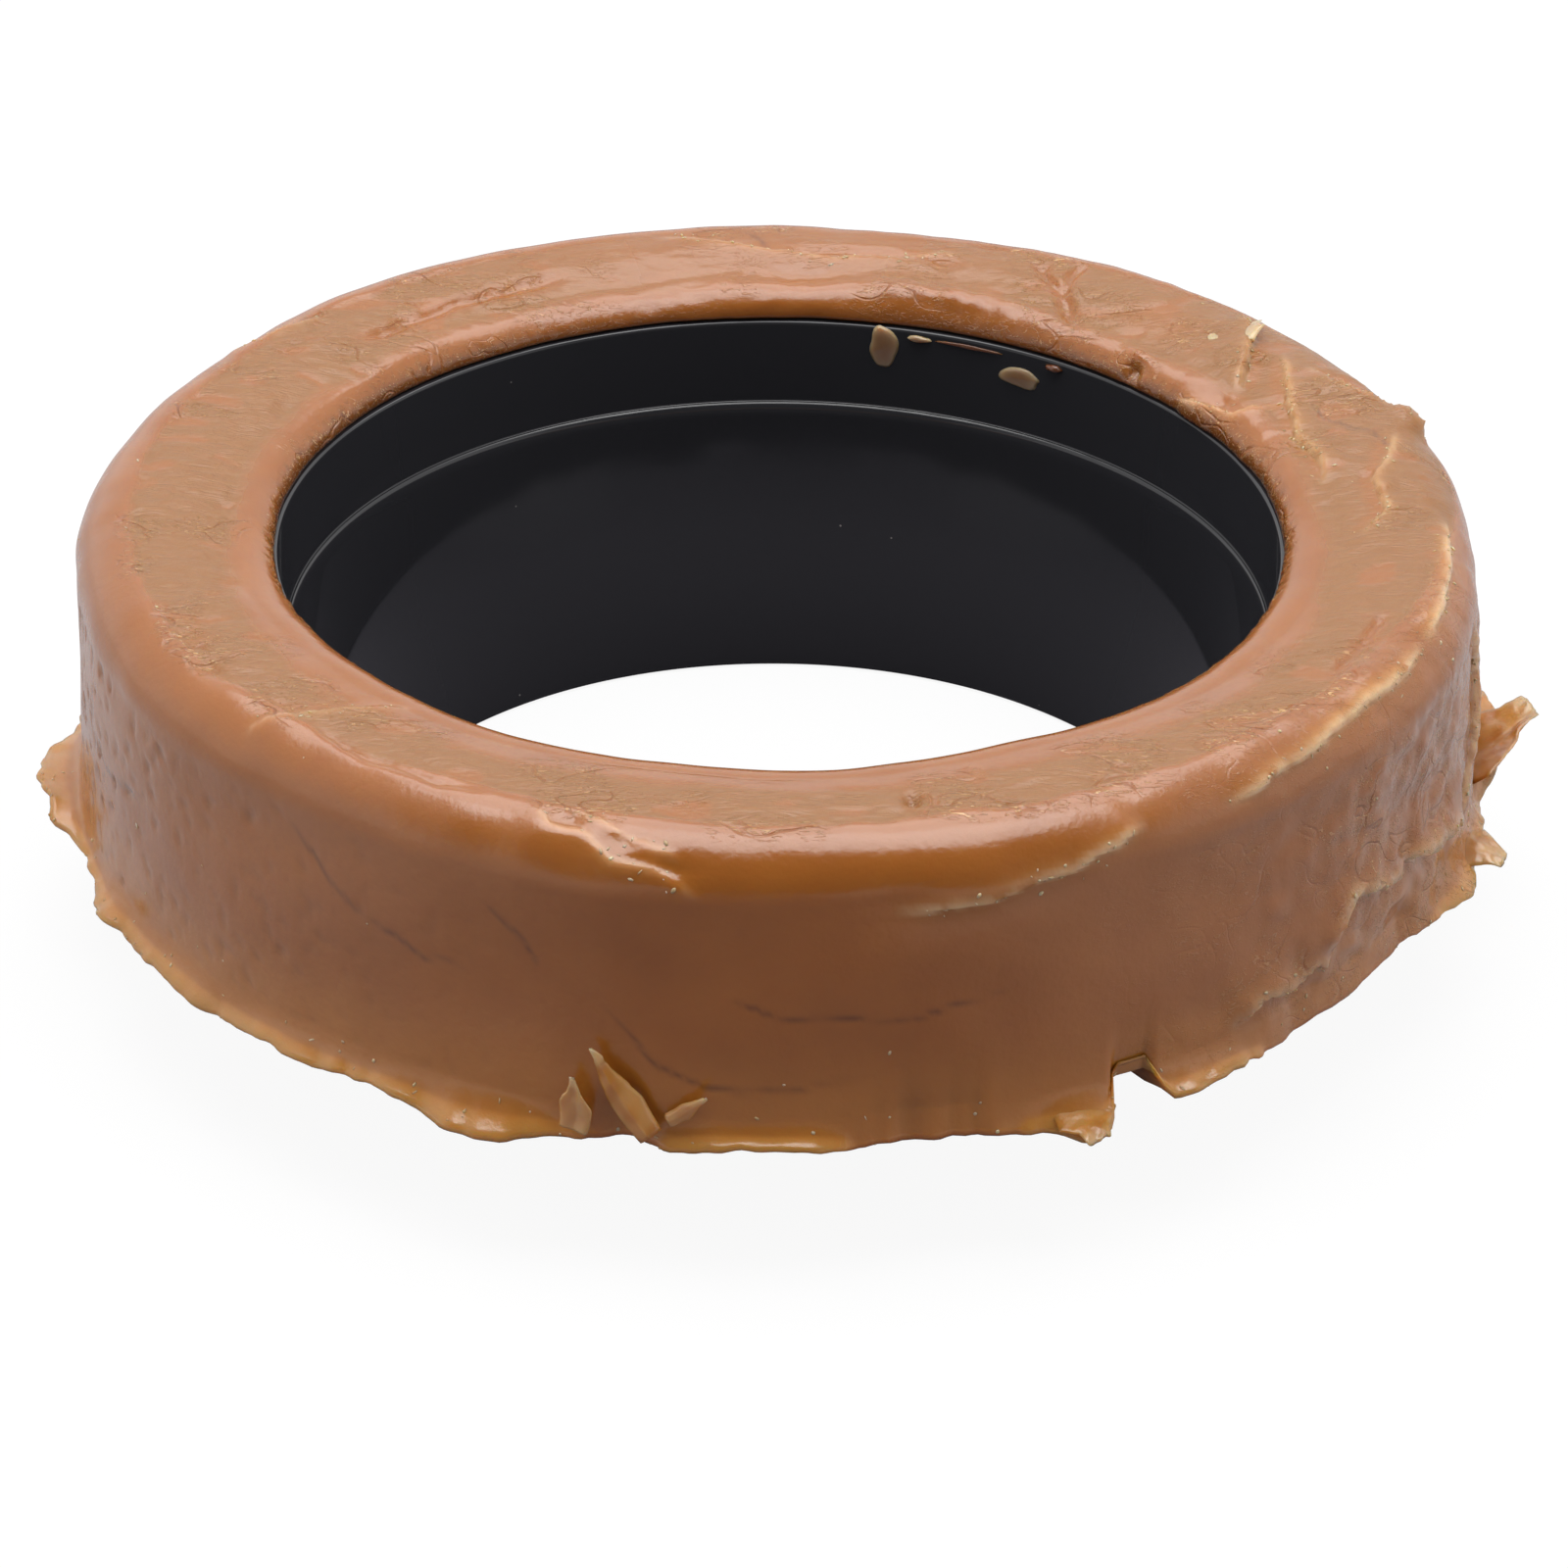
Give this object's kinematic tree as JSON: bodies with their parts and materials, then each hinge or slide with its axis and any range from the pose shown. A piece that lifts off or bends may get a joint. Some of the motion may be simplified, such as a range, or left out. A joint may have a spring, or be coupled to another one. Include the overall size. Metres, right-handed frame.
{
  "type": "toilet pan seal",
  "caption": "Thick ring of soft amber wax cast round a short black plastic sleeve whose tapered horn sticks out below, for sealing a toilet pan to a drain.",
  "frame": {"origin": "on the bore's axis, on the plane of the horn's lower end, which the part stands on", "axes": "+Z along the bore's axis towards the crest that the toilet pan presses on; -Y is the front, where the torn tag stands; +X is the right side seen from the front"},
  "size_m": [0.1371, 0.1312, 0.0413],
  "materials": {
    "black_polyethylene": "moulded, semi-gloss black",
    "petroleum_wax": "hand-marked translucent tan wax with torn amber edges"
  },
  "bodies": {
    "root": {"horn_sleeve": "black_polyethylene", "wax_ring": "petroleum_wax"}
  },
  "joints": []
}
